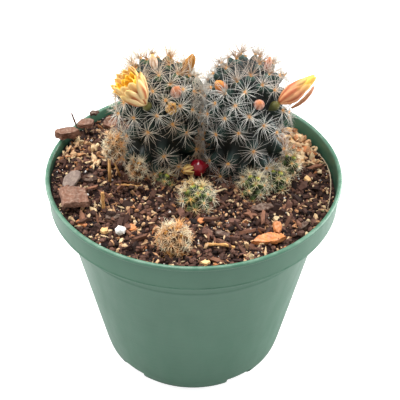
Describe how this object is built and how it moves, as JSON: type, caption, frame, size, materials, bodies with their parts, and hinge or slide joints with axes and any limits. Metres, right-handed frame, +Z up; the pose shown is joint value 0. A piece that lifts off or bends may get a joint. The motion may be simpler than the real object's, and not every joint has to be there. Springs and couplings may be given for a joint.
{
  "type": "potted clustering cactus",
  "caption": "Clump of round spiny nipple cactus heads with flowers, buds, a red fruit and small offsets, growing in bark potting mix in a tapered green nursery pot.",
  "frame": {"origin": "centre of the pot's foot, on the surface that it stands on", "axes": "+Z up, -Y the front with the standing front offset, +X to the right with the closed flower"},
  "size_m": [0.11, 0.11, 0.13],
  "materials": {
    "pot": "green injection-moulded nursery pot plastic, satin, paler where light grazes it",
    "mix": "damp dark peat and fine bark mix, matt and rough",
    "stem": "dark blue-green waxy plant skin under white hair-like spines",
    "young_offset": "yellow-green young plant skin under pale spines",
    "golden_offset": "dry golden plant skin under straw-coloured spines",
    "flower_tube": "olive green, smooth, slightly glossy",
    "petal_peach": "thin peach petals with darker mid stripes",
    "petal_yellow": "thin clear yellow petals",
    "sepal": "thin dry tan sepal",
    "bud": "soft pink to orange bud scales",
    "dried": "crumpled dry brown flower remains",
    "fruit": "glossy deep red berry skin",
    "bark": "weathered dark brown conifer bark, matt",
    "wood_chip": "fresh broken orange and cream wood",
    "leaf_scale": "thin grey-brown dry leaf scale",
    "straw": "dry yellow straw and wood slivers",
    "twig": "fine brown twigs and root fibre",
    "perlite": "white expanded perlite, rough and matt"
  },
  "bodies": {
    "root": {"bark_chip_back": "bark", "bark_chip_by_leaf": "bark", "bark_chip_front": "bark", "bark_chip_on_rim": "bark", "bark_chip_right": "bark", "bark_chip_rim_dark": "bark", "bark_curl_dark": "bark", "bark_flat": "bark", "bark_slab_on_rim": "bark", "bark_square": "bark", "bark_strip_curved": "straw", "bud_left_pink": "bud", "bud_left_top": "bud", "bud_middle_orange": "bud", "bud_right_pink": "bud", "bud_right_top": "bud", "dried_flower_back": "dried", "dried_flower_left": "dried", "flower_left_inner_petals": "petal_yellow", "flower_left_outer_petals": "petal_peach", "flower_left_tube": "flower_tube", "flower_right_inner_petals": "petal_yellow", "flower_right_loose_sepal": "sepal", "flower_right_outer_petals": "petal_peach", "flower_right_tube": "flower_tube", "fruit": "fruit", "fruit_dried_end": "dried", "head_back": "stem", "head_left": "stem", "head_right": "stem", "leaf_scale": "leaf_scale", "nursery_pot": "pot", "offset_front_dried": "golden_offset", "offset_left_dried": "golden_offset", "offset_low_left": "young_offset", "offset_middle_front": "young_offset", "offset_pale_yellow": "golden_offset", "offset_right_front": "young_offset", "offset_right_high": "young_offset", "offset_right_side": "young_offset", "perlite_grain": "perlite", "potting_mix": "mix", "root_fibre": "twig", "straw_left_long": "straw", "straw_left_short": "straw", "straw_middle": "straw", "straw_upright": "straw", "twig_thin": "twig", "twig_upright": "twig", "wood_chip_left": "wood_chip", "wood_chip_long": "wood_chip", "wood_chip_middle": "wood_chip", "wood_chip_peach": "wood_chip", "wood_chip_right": "wood_chip", "wood_chip_rim": "wood_chip", "wood_chip_tan": "wood_chip", "wood_curl": "wood_chip", "wood_pile_high": "wood_chip", "wood_pile_low": "wood_chip", "wood_pile_middle": "wood_chip"}
  },
  "joints": []
}
